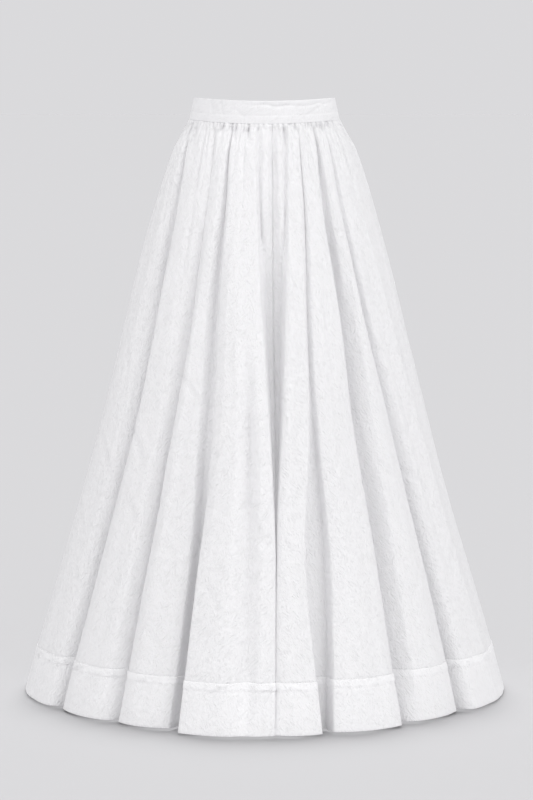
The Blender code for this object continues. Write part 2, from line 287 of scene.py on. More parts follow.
# Short creases pressed into the cloth: fold, place across it, share of the drop, length in
# metres, lean from upright in degrees, depth and width in millimetres
pressedCreases = [
    (0, 0.60, 0.72, 0.075, 38, 1.3, 6), (0, 0.35, 0.86, 0.060, -30, 1.0, 5),
    (0, 0.55, 0.94, 0.045, 52, 1.0, 4), (1, 0.34, 0.58, 0.090, -28, 1.2, 6),
    (1, 0.60, 0.64, 0.110, 24, 1.5, 6), (1, 0.80, 0.62, 0.070, -42, 1.1, 5),
    (1, 0.42, 0.90, 0.060, 30, 1.0, 5), (2, 0.55, 0.60, 0.080, 32, 1.3, 6),
    (2, 0.60, 0.78, 0.085, -36, 1.3, 6), (2, 0.70, 0.90, 0.060, 40, 1.0, 5),
    (3, 0.14, 0.42, 0.090, 18, 0.9, 6), (3, 0.20, 0.52, 0.100, -34, 1.6, 6),
    (3, 0.12, 0.62, 0.080, 44, 1.5, 5), (3, 0.22, 0.76, 0.100, -40, 1.5, 6),
    (3, 0.34, 0.86, 0.080, 36, 1.2, 5), (13, 0.72, 0.40, 0.090, 30, 1.4, 6),
    (13, 0.80, 0.58, 0.110, 42, 1.8, 7), (13, 0.66, 0.68, 0.080, 50, 1.6, 6),
    (13, 0.84, 0.78, 0.075, 34, 1.5, 5), (14, 0.40, 0.34, 0.080, -24, 1.3, 6),
    (14, 0.30, 0.54, 0.100, 46, 1.8, 7), (14, 0.60, 0.66, 0.090, 38, 1.5, 6),
    (14, 0.44, 0.82, 0.080, -46, 1.4, 6), (15, 0.60, 0.46, 0.080, 34, 1.3, 6),
    (15, 0.36, 0.62, 0.095, -38, 1.4, 6), (15, 0.52, 0.86, 0.070, 48, 1.2, 5),
    (16, 0.20, 0.60, 0.085, -32, 1.2, 6), (16, 0.30, 0.78, 0.070, 42, 1.1, 5),
    (16, 0.88, 0.70, 0.080, 28, 1.2, 6), (16, 0.50, 0.90, 0.080, -20, 1.1, 6),
    (4, 0.50, 0.40, 0.090, 34, 1.5, 7), (5, 0.40, 0.66, 0.080, -38, 1.5, 6),
    (6, 0.60, 0.54, 0.095, 30, 1.5, 6), (7, 0.44, 0.76, 0.085, 44, 1.4, 6),
    (8, 0.56, 0.48, 0.090, -36, 1.4, 7), (9, 0.40, 0.70, 0.080, 32, 1.3, 6),
    (10, 0.60, 0.60, 0.100, -30, 1.5, 6), (11, 0.44, 0.80, 0.085, 40, 1.3, 6),
    (12, 0.52, 0.50, 0.090, 36, 1.4, 6),
]


def ease(t):
    t = np.clip(t, 0.0, 1.0)
    return t * t * (3.0 - 2.0 * t)


def curveThrough(places, values, at):
    # a smooth curve through the values, which may be a list of values for each place
    values = np.asarray(values, float)
    slopes = np.empty_like(values)
    gaps = np.diff(places).reshape(-1, *[1] * (values.ndim - 1))
    slopes[1:-1] = (values[2:] - values[:-2]) / (gaps[1:] + gaps[:-1])
    slopes[0] = (values[1] - values[0]) / gaps[0]
    slopes[-1] = (values[-1] - values[-2]) / gaps[-1]
    i = np.clip(np.searchsorted(places, at, side="right") - 1, 0, len(places) - 2)
    shape = np.shape(at) + (1,) * (values.ndim - 1)
    span = np.reshape(places[i + 1] - places[i], shape)
    t = np.clip(np.reshape(at - places[i], shape) / span, 0.0, 1.0)
    return (
        values[i] * (2 * t**3 - 3 * t**2 + 1)
        + slopes[i] * span * (t**3 - 2 * t**2 + t)
        + values[i + 1] * (3 * t**2 - 2 * t**3)
        + slopes[i + 1] * span * (t**3 - t**2)
    )


def seamHeightAt(turn):
    return fall["seamHeight"] - fall["seamDip"] * np.cos(turn) ** 2


folds = {
    "left": np.radians([row[0] for row in foldRows]).T,
    "right": np.radians([row[1] for row in foldRows]).T,
    "valley": np.array([row[2] for row in foldRows]).T / 1000.0,
    "standOut": np.array([row[3] for row in foldRows]) / 1000.0,
    "softLeft": np.array([row[4] for row in foldRows]).T / 1000.0,
    "softRight": np.array([row[5] for row in foldRows]).T / 1000.0,
}
fullTurn = 2.0 * math.pi


def foldsAt(share):
    # every fold's edges, valleys and softness at each share of the drop, a row for each share
    share = np.atleast_1d(share)
    lower = ease((share - fall["softerFrom"]) / fall["softerRun"])[:, None]
    loosened = ease(share / fall["tighterUntil"])[:, None]
    tight = gathering["tightEdges"] + (1.0 - gathering["tightEdges"]) * loosened
    left = curveThrough(stations, folds["left"], share)
    right = curveThrough(stations, folds["right"], share)
    before = np.concatenate([right[:, -1:] - fullTurn, right[:, :-1]], axis=1)
    centre = (before + left) / 2.0
    return {
        "left": left,
        "right": right,
        "start": centre,
        "end": np.concatenate([centre[:, 1:], centre[:, :1] + fullTurn], axis=1),
        "valley": curveThrough(stations, folds["valley"], share),
        "standOut": share[:, None] * folds["standOut"][None, :],
        "softLeft": tight * (folds["softLeft"][0] * (1 - lower) + folds["softLeft"][1] * lower),
        "softRight": tight * (folds["softRight"][0] * (1 - lower) + folds["softRight"][1] * lower),
    }


gathering = {
    "depth": 0.78,
    "settle": 0.045,  # the share of the drop in which a gather leans over to where it settles
    "tip": 0.0009,
    "tightEdges": 0.45,  # how much tighter a fold's edges are at the stitching
    "seamShare": 0.12,  # how much of a fold's valley is left at the stitching
    "seamRun": 0.011,
    "puff": 0.0020,  # the gathers swell out right under the waistband
    "puffFrom": 0.0025,
    "puffRun": 0.050,
    "widths": (0.65, 0.85),  # a gather's width at its top as a share, and what it gains downwards
    "riseRun": 0.05,  # the share of the drop in which a gather deepens
    "fadeFrom": 0.25,  # how far along itself a gather starts to fade
}

# Small gathers that the stitching draws up all round, each at its own place and length
fineGathers = {
    "count": 104,
    "jitter": 0.42,
    "seed": 7,
    "depth": (0.0038, 0.0104),
    "run": (0.012, 0.060),
    "halfWidth": (0.0011, 0.0019),
    "start": 0.30,  # a gather is this deep at the stitching, as a share of its depth
    "rise": 0.010,
    "pinch": 0.0012,
    "pinchRun": 0.0022,
    "reach": 0.11,
}


def fineGatherRows():
    draw = random.Random(fineGathers["seed"])
    rows = []
    for i in range(fineGathers["count"]):
        turn = (i + draw.uniform(-1, 1) * fineGathers["jitter"]) * fullTurn / fineGathers["count"]
        low, high = fineGathers["run"]
        run = low + (high - low) * draw.random() ** 2
        depth = draw.uniform(*fineGathers["depth"])
        rows.append((turn, depth, run, draw.uniform(*fineGathers["halfWidth"])))
    return rows


def cusp(away, halfWidth):
    # a groove with rounded shoulders and a narrow bottom
    return np.exp(-(np.sqrt(away**2 + gathering["tip"] ** 2) - gathering["tip"]) / halfWidth)


def awayFrom(turn, centre, metric):
    return np.abs((turn - centre + math.pi) % fullTurn - math.pi) * metric


def gatherInset(turn, metric, share, drop, seamed):
    insetSquared = np.zeros_like(turn)
    for seam, low, start, end, depth, width in gatherRows:
        settled = np.exp(-share / gathering["settle"])
        centre = np.radians(low + (seam - low) * settled)
        along = np.clip((share - start) / (end - start), 0.0, 1.0)
        wide = width / 1000.0 * (gathering["widths"][0] + gathering["widths"][1] * along)
        faded = ease((along - gathering["fadeFrom"]) / (1.0 - gathering["fadeFrom"]))
        strength = ease((share - start) / gathering["riseRun"]) * (1.0 - faded)
        shape = cusp(awayFrom(turn, centre, metric), wide)
        insetSquared += (gathering["depth"] * depth / 1000.0 * strength * seamed * shape) ** 2
    near = np.nonzero(drop[:, 0] < fineGathers["reach"])[0]
    for centre, depth, run, wide in fineGatherRows():
        fade = 1.0 - ease(drop[near] / run)
        risen = ease(drop[near] / fineGathers["rise"])
        fade = fade * (fineGathers["start"] + (1.0 - fineGathers["start"]) * risen)
        pinch = fineGathers["pinch"] * np.exp(-drop[near] / fineGathers["pinchRun"])
        shape = cusp(awayFrom(turn[near], centre, metric[near]), wide * (1.0 + drop[near] / run))
        insetSquared[near] += ((depth * fade + pinch) * shape) ** 2
    return np.sqrt(insetSquared)


def recessFill(turn, metric, share):
    # how far the ridges fill their recess, from 0 to 1
    fill = np.zeros_like(turn)
    for seam, low, end, widthSeam, widthLow in recessRidges:
        centre = np.radians(low + (seam - low) * np.exp(-share / gathering["settle"]))
        wide = (widthSeam + (widthLow - widthSeam) * np.clip(share / end, 0.0, 1.0)) / 1000.0
        sunk = ease((share - recess["sinksFrom"]) / (end - recess["sinksFrom"]))
        high = recess["filled"] - recess["filled"] * sunk
        fill = np.maximum(fill, high * np.exp(-((awayFrom(turn, centre, metric) / wide) ** 4)))
    return fill


def lengthwise(share, start, end, rise, fade):
    # how deep something is along its length, from 0 to 1
    return ease((share - start) / rise) * (1.0 - ease((share - end + fade) / fade))


def fallIn(distance, soft, atValley):
    # how far the cloth has turned in from a fold's face, from 0 on it to 1 in the valley
    lead = np.minimum(fall["edgeShare"] * soft, fall["edgeLead"])
    return (1.0 - np.tanh((distance + lead) / soft)) / (1.0 - np.tanh((atValley + lead) / soft))


def faceFolds(fold, share, face, fromLeft, fromRight):
    # how far in from a fold's rounded face its softer folds and turned faces lie
    inset = np.zeros_like(face)
    for which, top, bottom, start, end, depth, width in softFolds:
        centre = top + (bottom - top) * share
        length = lengthwise(share, start, end, *faceRuns["softFold"])
        shape = np.exp(-(((face - centre) / width) ** 2))
        inset += (fold == which) * depth / 1000.0 * length * shape
    for which, side, start, end, width, depth in turnedFaces:
        distance = (fromLeft if side < 0 else fromRight) / (width / 1000.0)
        length = lengthwise(share, start, end, *faceRuns["turnedFace"])
        slope = 0.5 * (1.0 - distance + np.sqrt((1.0 - distance) ** 2 + faceRuns["blend"]))
        inset += (fold == which) * depth / 1000.0 * length * slope
    return inset


def gatheredIn(out, turn, metric, share, drop):
    # the folds die away at the stitching, where the gathers cut in and the cloth swells
    seamed = gathering["seamShare"] + (1.0 - gathering["seamShare"]) * ease(drop / gathering["seamRun"])
    out = out * seamed - gatherInset(turn, metric, np.maximum(share, 0), np.maximum(drop, 0), seamed)
    swell = 1.0 - np.exp(-np.maximum(drop, 0) / gathering["puffFrom"])
    return out + gathering["puff"] * swell * np.exp(-((drop / gathering["puffRun"]) ** 2))


def drapedPoints(drops, fold, across):
    # points of the cloth's outer face: a row for each drop, across given from valley to valley
    drop = drops[:, None]
    share = drop / fall["hemDrop"]
    at = foldsAt(np.clip(share[:, 0], 0.0, 1.0))
    pick = {name: values[:, fold] for name, values in at.items()}
    nextValley = at["valley"][:, (fold + 1) % foldCount]
    halfWidth = curveThrough(outlineRows[:, 0], outlineRows[:, 1], drops)[:, None]
    halfDepth = curveThrough(outlineRows[:, 0], outlineRows[:, 2], drops)[:, None]
    turn = pick["start"] + (pick["end"] - pick["start"]) * across
    metric = np.hypot(halfWidth * np.cos(turn), halfDepth * np.sin(turn))
    fromLeft = (turn - pick["left"]) * metric
    fromRight = (pick["right"] - turn) * metric
    leftIn = fallIn(fromLeft, pick["softLeft"], (pick["start"] - pick["left"]) * metric)
    rightIn = fallIn(fromRight, pick["softRight"], (pick["right"] - pick["end"]) * metric)
    onFace = (1.0 - leftIn) * (1.0 - rightIn)
    unfilled = 1.0 - recessFill(turn, metric, np.maximum(share, 0.0))
    out = pick["standOut"] * onFace - (pick["valley"] * leftIn + nextValley * rightIn) * unfilled

    face = (turn - pick["left"]) / (pick["right"] - pick["left"])
    faceWidth = (pick["right"] - pick["left"]) * metric
    rounded = ease(share / fall["bulgeShare"])
    bulge = fall["bulge"] * rounded * np.minimum(faceWidth, fall["widestBulge"])
    bulge = bulge * (4.0 * face * (1.0 - face) - fall["bulgeBase"])
    out = out + onFace * (bulge - faceFolds(fold, share, face, fromLeft, fromRight))
    out = gatheredIn(out, turn, metric, share, drop)

    outward = np.stack([np.sin(turn) / halfWidth, -np.cos(turn) / halfDepth, np.zeros_like(turn)], -1)
    outward /= np.linalg.norm(outward, axis=-1, keepdims=True)
    seam = seamHeightAt(turn)
    height = seam + (fall["hemHeight"] - seam) * share
    onRing = np.stack([halfWidth * np.sin(turn), -halfDepth * np.cos(turn), height], -1)
    return onRing + outward * out[..., None]


def columnsPerFold():
    # columns round the skirt, shared out by the cloth in each fold low down
    fine = np.linspace(0.0, 1.0, fall["samples"])
    drops = np.array(fall["sharedOutAt"]) * fall["hemDrop"]
    lengths = []
    for k in range(foldCount):
        points = drapedPoints(drops, np.full(len(fine), k), np.broadcast_to(fine, (2, len(fine))))
        lengths.append(np.linalg.norm(np.diff(points[0], axis=0), axis=-1).sum())
    whole = sum(lengths)
    return [max(fall["fewestColumns"], round(fall["columns"] * length / whole)) for length in lengths]


foldColumns = columnsPerFold()
foldOf = np.repeat(np.arange(foldCount), foldColumns)


def acrossFor(drops):
    # where the columns go: evenly along the cloth, and closer together round its edges
    fine = np.linspace(0.0, 1.0, fall["samples"])
    across = np.empty((len(drops), len(foldOf)))
    column = 0
    for k, count in enumerate(foldColumns):
        rowsAcross = np.broadcast_to(fine, (len(drops), len(fine)))
        points = drapedPoints(drops, np.full(len(fine), k), rowsAcross)
        steps = np.diff(points, axis=1)
        lengths = np.linalg.norm(steps, axis=-1)
        heading = steps / lengths[..., None]
        bend = np.linalg.norm(np.diff(heading, axis=1), axis=-1)
        bend = np.concatenate([bend[:, :1], (bend[:, 1:] + bend[:, :-1]) / 2.0, bend[:, -1:]], axis=1)
        weight = lengths + fall["cornerColumns"] * bend
        run = np.concatenate([np.zeros((len(drops), 1)), np.cumsum(weight, axis=1)], axis=1)
        for row in range(len(drops)):
            wanted = np.arange(count) / count * run[row, -1]
            across[row, column : column + count] = np.interp(wanted, run[row], fine)
        column += count
    # columns run down without jumping sideways
    for again in range(fall["calming"]):
        across[1:-1] = (across[:-2] + 2.0 * across[1:-1] + across[2:]) / 4.0
    return across


def outwardOf(points):
    # the cloth's own normals on a grid that closes on itself across
    along = np.roll(points, -1, axis=1) - np.roll(points, 1, axis=1)
    down = np.gradient(points, axis=0)
    normals = np.cross(down, along)
    return normals / np.linalg.norm(normals, axis=-1, keepdims=True)


# Streaks, dents and fine dents of handled cloth: how many to a metre or so, how stretched down
# the cloth and how deep
crumple = {
    "calmUntil": 0.05,  # they deepen from the waistband down to this drop
    "roughening": (1.0, 2.0, 2),  # of the streaks: roughness, step between sizes, number of sizes
    "fineShift": 3.0,
    "streaks": 34.0,
    "streakStretch": 0.07,
    "streakDepth": 0.0013,
    "dents": 14.0,
    "dentStretch": 0.40,
    "dentDepth": 0.0009,
    "fine": 90.0,
    "fineDepth": 0.0002,
}


def crumpleRelief(points):
    # uneven handled look: long streaks that run down the cloth, shallow dents and small ones
    flat = points.reshape(-1, 3)
    relief = np.empty(len(flat))
    streakStretch, dentStretch = crumple["streakStretch"], crumple["dentStretch"]
    for i, (x, y, z) in enumerate(flat):
        alongStreak = Vector((x, y, z * streakStretch)) * crumple["streaks"]
        streak = noise.fractal(alongStreak, *crumple["roughening"])
        dent = noise.noise(Vector((x, y, z * dentStretch)) * crumple["dents"])
        fine = noise.noise(Vector((x + crumple["fineShift"], y, z * dentStretch)) * crumple["fine"])
        relief[i] = crumple["streakDepth"] * streak + crumple["dentDepth"] * dent
        relief[i] += crumple["fineDepth"] * fine
    return relief.reshape(points.shape[:2])


# A pressed crease bends by this much, and the ridge beside it is this high and this far off
creaseForm = {"bow": 0.35, "ridge": 0.6, "ridgeAway": 1.6}


def creaseRelief(widths, drops, across):
    # short pressed creases, each a trough with a small ridge beside it
    relief = np.zeros((len(drops), len(foldOf)))
    for which, place, share, length, lean, depth, width in pressedCreases:
        depth, width = depth / 1000.0, width / 1000.0
        row = np.argmin(np.abs(drops - share * fall["hemDrop"]))
        column = np.argmin(np.abs(foldOf + across[row] - which - place))
        side = widths - widths[:, column : column + 1]
        down = (drops - share * fall["hemDrop"])[:, None]
        angle = math.radians(lean)
        along = down * math.cos(angle) + side * math.sin(angle)
        off = side * math.cos(angle) - down * math.sin(angle) + creaseForm["bow"] * along**2 / length
        fade = np.exp(-((2.0 * along / length) ** 4))
        ridge = np.exp(-(((off - creaseForm["ridgeAway"] * width) / width) ** 2))
        relief -= depth * fade * (np.exp(-((off / width) ** 2)) - creaseForm["ridge"] * ridge)
    return relief


def runningWidths(points):
    # how far round the cloth each point lies, along its own row
    steps = np.linalg.norm(np.roll(points, -1, axis=1) - points, axis=-1)
    return np.concatenate([np.zeros((len(points), 1)), np.cumsum(steps, axis=1)[:, :-1]], axis=1)


# how far round the cloth each column lies low down, for marks that run down with the folds
lowDrops = np.array(fall["marksAt"]) * fall["hemDrop"]
lowPoints = drapedPoints(lowDrops, foldOf, acrossFor(lowDrops))[0]
lowSteps = np.linalg.norm(np.roll(lowPoints, -1, axis=0) - lowPoints, axis=-1)
lowRing = {
    "girth": lowSteps.sum(),
    "turns": np.concatenate([[0.0], np.cumsum(lowSteps)[:-1]]) / lowSteps.sum() * fullTurn,
}


def clothSurface(drops, lift):
    across = acrossFor(drops)
    points = drapedPoints(drops, foldOf, across)
    normals = outwardOf(points)
    widths = runningWidths(points)
    calm = ease(drops / crumple["calmUntil"])[:, None]
    girth = lowRing["girth"] / fullTurn
    onCloth = np.empty_like(points)
    onCloth[..., 0] = girth * np.cos(lowRing["turns"])
    onCloth[..., 1] = girth * np.sin(lowRing["turns"])
    onCloth[..., 2] = drops[:, None]
    relief = crumpleRelief(onCloth) * calm + creaseRelief(widths, drops, across)
    return points + normals * (relief + lift)[..., None], widths


def sheetMesh(name, points, widths, drops):
    rows, columns = points.shape[:2]
    corner = (np.arange(rows - 1)[:, None] * columns + np.arange(columns - 1)[None, :]).ravel()
    faces = np.stack([corner, corner + columns, corner + columns + 1, corner + 1], 1)
    mesh = bpy.data.meshes.new(name)
    mesh.from_pydata(points.reshape(-1, 3).tolist(), [], faces.tolist())
    places = np.stack([widths, np.broadcast_to(-drops[:, None], widths.shape)], -1).reshape(-1, 2)
    uvLayer = mesh.uv_layers.new(name="cloth")
    uvLayer.data.foreach_set("uv", places[faces.ravel()].astype(np.float32).ravel())
    mesh.shade_smooth()
    piece = bpy.data.objects.new(name, mesh)
    bpy.context.scene.collection.objects.link(piece)
    return piece


# A rounded edge has this many facets, and is made where the cloth turns by more degrees
cutEdge = {"facets": 2, "sharperThan": 60.0}


def growWall(piece, thickness, rounded=0.0):
    bpy.ops.object.select_all(action="DESELECT")
    bpy.context.view_layer.objects.active = piece
    piece.select_set(True)
    wall = piece.modifiers.new("wall", "SOLIDIFY")
    wall.thickness = thickness
    wall.offset = -1.0
    bpy.ops.object.modifier_apply(modifier=wall.name)
    if rounded:
        edge = piece.modifiers.new("edge", "BEVEL")
        edge.width = rounded
        edge.segments = cutEdge["facets"]
        edge.limit_method = "ANGLE"
        edge.angle_limit = math.radians(cutEdge["sharperThan"])
        bpy.ops.object.modifier_apply(modifier=edge.name)
    piece.select_set(False)
    return piece


hemPlan = {
    "rows": 38,
    "crowding": 1.5,
    "lift": 0.0006,
    "lip": 0.0011,
    "thickness": 0.0016,
    "rounded": 0.0005,
    "stripDepth": 0.0135,
    "stripRise": 0.0006,
    "grooveDepth": 0.0010,
    "grooveWidth": 0.0016,
    "puckerDepth": 0.0010,
    "puckerPitch": 0.011,
    "puckerReach": 0.008,
    "puckerLean": 1.3,
    "puckerAt": 0.8,  # where along the seam allowance the puckers are deepest
    "stripEdge": 0.002,
    "depth": 0.083,
}
# Puckers are uneven: how far they wander and how fast, and how their depth varies
puckerDrift = {"wander": 1.7, "wanderRate": 0.23, "least": 0.55, "more": 0.45, "rate": 0.11, "start": 0.7}

# Painted shade: a single layer is painted darker towards the hem, standing in for the shaded inside
# showing through it, most where the skirt is wide; where the cloth is doubled it is painted paler, as
# less shade shows through: tone at the seam and at the hem, and in the seam allowance
cottonLooks = {
    "panelCotton": {"pale": (0.864, 0.860, 0.872, 1), "deep": (0.838, 0.834, 0.845, 1),
                    "high": 1.0, "low": 0.965, "strip": 0.0, "crease": 1.03},
    "hemCotton": {"pale": (0.864, 0.860, 0.872, 1), "deep": (0.842, 0.838, 0.849, 1),
                  "high": 1.0, "low": 0.985, "strip": 0.045, "crease": 0.95},
    "bandCotton": {"pale": (0.864, 0.860, 0.872, 1), "deep": (0.838, 0.834, 0.845, 1),
                   "high": 0.975, "low": 0.975, "strip": 0.0, "crease": 0.6},
}
layerEdge = 0.0006  # how softly one layer passes into two

# How cotton takes the light
cottonFinish = {
    "Roughness": 0.92, "Specular IOR Level": 0.25, "Sheen Weight": 0.12, "Sheen Roughness": 0.6,
}

# Crushed cotton: each kind of stroke leans so many degrees from upright, with its width, its
# length and its own seed; then how much of the relief each part of it gives
crinkle = {
    "leftward": (34.0, (0.0029, 0.0100), 0.3),
    "rightward": (-32.0, (0.0030, 0.0105), 1.7),
    "upright": (3.0, (0.0120, 0.1100), 2.9),
    "uprightShare": 0.45,
    "dentShare": 0.5,
    "dentScale": 300.0,
    "patchScale": 70.0,
    "patchEdge": (0.40, 0.60),
    "roughness": 0.6,
    "crown": (0.14, 0.10),  # how wide and how high the sharp crown of a stroke is
    "stroke": (0.25, 0.75),
    "height": 0.0014,
    # the relief also paints shade into the colour: darker in the troughs, a painted highlight on the
    # crowns
    "paintedShadeFrom": (0.6, 1.3),
    "paintedShadeTo": (0.980, 1.008),
}
# Plain weave, its threads about a millimetre apart, and slubs up and down the cloth
weaving = {"scale": 320.0, "waver": 0.4, "strength": 0.12, "height": 0.0002, "slubs": (260.0, 9.0, 1.0)}


def wired(tree, kind, inputs, **settings):
    # a node with its settings, its fixed values and its links
    node = tree.nodes.new("ShaderNode" + kind)
    for key, value in settings.items():
        setattr(node, key, value)
    for socket, value in inputs.items():
        if isinstance(value, bpy.types.NodeSocket):
            tree.links.new(value, node.inputs[socket])
        else:
            node.inputs[socket].default_value = value
    return node


def scaled(tree, value, low, high, toLow=0.0, toHigh=1.0):
    # a value carried over from one range to another
    limits = {"From Min": low, "From Max": high, "To Min": toLow, "To Max": toHigh}
    return wired(tree, "MapRange", {"Value": value, **limits}).outputs["Result"]


def worked(tree, operation, *values):
    # one step of arithmetic
    return wired(tree, "Math", dict(enumerate(values)), operation=operation).outputs["Value"]


def leaningStrokes(tree, uv, lean, size, seed):
    # fine strokes that lean over by so many degrees from upright, some with a sharp crown
    turned = wired(tree, "Mapping", {
        "Vector": uv, "Location": (seed, seed, 0.0),
        "Rotation": (0.0, 0.0, math.radians(lean)), "Scale": (*size, 1.0),
    }, vector_type="TEXTURE")
    field = wired(tree, "TexNoise", {
        "Vector": turned.outputs["Vector"], "Scale": 1.0, "Detail": 3.0,
        "Roughness": crinkle["roughness"],
    }).outputs["Fac"]
    folded = worked(tree, "ABSOLUTE", worked(tree, "ADD", field, -0.5))
    crownWidth, crownHeight = crinkle["crown"]
    crown = scaled(tree, folded, 0.0, crownWidth, crownHeight, 0.0)
    return worked(tree, "ADD", crown, scaled(tree, field, *crinkle["stroke"]))


def crinkleRelief(tree, uv):
    # strokes that lean one way or the other, in small patches, and upright ones and dents
    leftward = leaningStrokes(tree, uv, *crinkle["leftward"])
    rightward = leaningStrokes(tree, uv, *crinkle["rightward"])
    patches = wired(tree, "TexNoise", {"Vector": uv, "Scale": crinkle["patchScale"], "Detail": 1.0})
    patchEdge = scaled(tree, patches.outputs["Fac"], *crinkle["patchEdge"])
    leaning = wired(tree, "Mix", {0: patchEdge, 2: leftward, 3: rightward}).outputs[0]
    upright = leaningStrokes(tree, uv, *crinkle["upright"])
    strokes = worked(tree, "MULTIPLY_ADD", upright, crinkle["uprightShare"], leaning)
    dents = wired(tree, "TexNoise", {
        "Vector": uv, "Scale": crinkle["dentScale"], "Detail": 3.0, "Roughness": crinkle["roughness"],
    })
    return worked(tree, "MULTIPLY_ADD", dents.outputs["Fac"], crinkle["dentShare"], strokes)


def clothNormal(tree, uv, relief, crease):
    # the crinkle, and over it the weave
    creaseBump = wired(tree, "Bump", {
        "Height": relief, "Strength": 1.0, "Distance": crinkle["height"] * crease,
    })
    thread = {"Vector": uv, "Scale": weaving["scale"], "Distortion": weaving["waver"]}
    warpThreads = wired(tree, "TexWave", thread)
    weftThreads = wired(tree, "TexWave", thread, bands_direction="Y")
    weaveBump = wired(tree, "Bump", {
        "Height": worked(tree, "MULTIPLY", warpThreads.outputs["Fac"], weftThreads.outputs["Fac"]),
        "Strength": weaving["strength"], "Distance": weaving["height"],
        "Normal": creaseBump.outputs["Normal"],
    })
    return weaveBump.outputs["Normal"]


def clothTone(tree, uv, relief, look):
    # slubs; painted shade that darkens the panels towards the hem and is lighter where the cloth is
    # doubled;
    # and painted shade in the crinkles' troughs with a painted highlight on their crowns
    slubPlace = wired(tree, "Mapping", {"Vector": uv, "Scale": weaving["slubs"]})
    slubs = wired(tree, "TexNoise", {"Vector": slubPlace.outputs["Vector"], "Scale": 1.0, "Detail": 4.0})
    tints = {0: slubs.outputs["Fac"], 6: look["deep"], 7: look["pale"]}
    tint = wired(tree, "Mix", tints, data_type="RGBA")
    down = wired(tree, "SeparateXYZ", {"Vector": uv}).outputs["Y"]
    seam = -fall["hemSeamDrop"] - hemPlan["stripDepth"]
    # painted light: the doubled seam allowance is painted paler, where less of the shaded inside shows
    # through
    paintedLayerLight = scaled(tree, down, seam - layerEdge, seam + layerEdge, 0.0, look["strip"])
    # painted shade: the single layer is painted darker towards the hem
    fade = scaled(tree, down, -fall["hemSeamDrop"], 0.0, look["low"], look["high"])
    # painted shade in the crinkles' troughs and a painted highlight on their crowns
    paintedCreaseShade = scaled(tree, relief, *crinkle["paintedShadeFrom"], *crinkle["paintedShadeTo"])
    tone = worked(tree, "MULTIPLY", paintedCreaseShade, worked(tree, "ADD", fade, paintedLayerLight))
    shaded = wired(tree, "VectorMath", {0: tint.outputs[2], "Scale": tone}, operation="SCALE")
    return shaded.outputs["Vector"]


def makeCotton(name, look):
    material = bpy.data.materials.new(name)
    material.use_nodes = True
    tree = material.node_tree
    shader = tree.nodes["Principled BSDF"]
    for socket, value in cottonFinish.items():
        shader.inputs[socket].default_value = value
    uv = tree.nodes.new("ShaderNodeTexCoord").outputs["UV"]
    relief = crinkleRelief(tree, uv)
    tree.links.new(clothNormal(tree, uv, relief, look["crease"]), shader.inputs["Normal"])
    tree.links.new(clothTone(tree, uv, relief, look), shader.inputs["Base Color"])
    return material


cotton = {name: makeCotton(name, look) for name, look in cottonLooks.items()}
garment = []
print("cotton materials made")

panelPlan = {
    "rows": 170,
    "crowding": 1.25,  # rows lie closer together near the gathers
    "thickness": 0.0006,
    "tuckedIn": 0.003,  # its edges lie inside the waistband and the hem band
    "length": 0.95,
    # first fold, the fold after the last, the panel's cut width at the waist and at the hem
    "quarters": {
        "front_left": (0, 4, 0.30, 1.00),
        "back_left": (4, 9, 0.26, 0.81),
        "back_right": (9, 13, 0.26, 0.81),
        "front_right": (13, 17, 0.30, 1.00),
    },
}


def quarterColumns(first, end):
    start = int(np.searchsorted(foldOf, first))
    stop = int(np.searchsorted(foldOf, end))
    return np.arange(start, stop + 1) % len(foldOf)


def clothPlaces(points, waistCut, hemCut, drops):
    # where each point lies across its flat panel, from the grain line down its middle
    lengths = np.linalg.norm(np.diff(points, axis=1), axis=-1)
    run = np.concatenate([np.zeros((len(points), 1)), np.cumsum(lengths, axis=1)], axis=1)
    cut = waistCut + (hemCut - waistCut) * drops / fall["hemDrop"]
    return (run / run[:, -1:] - 0.5) * cut[:, None]


panelSteps = np.linspace(0.0, 1.0, panelPlan["rows"]) ** panelPlan["crowding"]
panelDrops = panelSteps * (fall["hemSeamDrop"] + 2 * panelPlan["tuckedIn"]) - panelPlan["tuckedIn"]
panelPoints = clothSurface(panelDrops, 0.0)[0]
for quarter, (first, end, waistCut, hemCut) in panelPlan["quarters"].items():
    columns = quarterColumns(first, end)
    places = clothPlaces(panelPoints[:, columns], waistCut, hemCut, panelDrops)
    panel = sheetMesh("skirt_" + quarter, panelPoints[:, columns], places, panelDrops)
    growWall(panel, panelPlan["thickness"])
    panel.data.materials.append(cotton["panelCotton"])
    garment.append(panel)
    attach(panel, "root")
    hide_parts("panel_" + quarter)
print("skirt panels gathered")


def hemRelief(below, widths):
    # the seam allowance shut inside the band, its stitch line and the puckers along it
    strip = hemPlan["stripDepth"]
    raised = hemPlan["stripRise"] * (1.0 - ease((below - strip) / hemPlan["stripEdge"]))
    raised = raised - (hemPlan["lift"] + hemPlan["stripRise"]) * (1.0 - ease(below / hemPlan["lip"]))
    groove = hemPlan["grooveDepth"] * np.exp(-(((below - strip) / hemPlan["grooveWidth"]) ** 2))
    place = widths / hemPlan["puckerPitch"] * 2.0 * np.pi
    slant = below / hemPlan["puckerReach"] * hemPlan["puckerLean"]
    wander = puckerDrift["wander"] * np.sin(place * puckerDrift["wanderRate"])
    swell = np.sin(place * puckerDrift["rate"] + puckerDrift["start"])
    pull = np.sin(place + slant + wander) * (puckerDrift["least"] + puckerDrift["more"] * swell)
    near = np.exp(-(((below - strip * hemPlan["puckerAt"]) / hemPlan["puckerReach"]) ** 2))
    return raised - groove + hemPlan["puckerDepth"] * pull * near


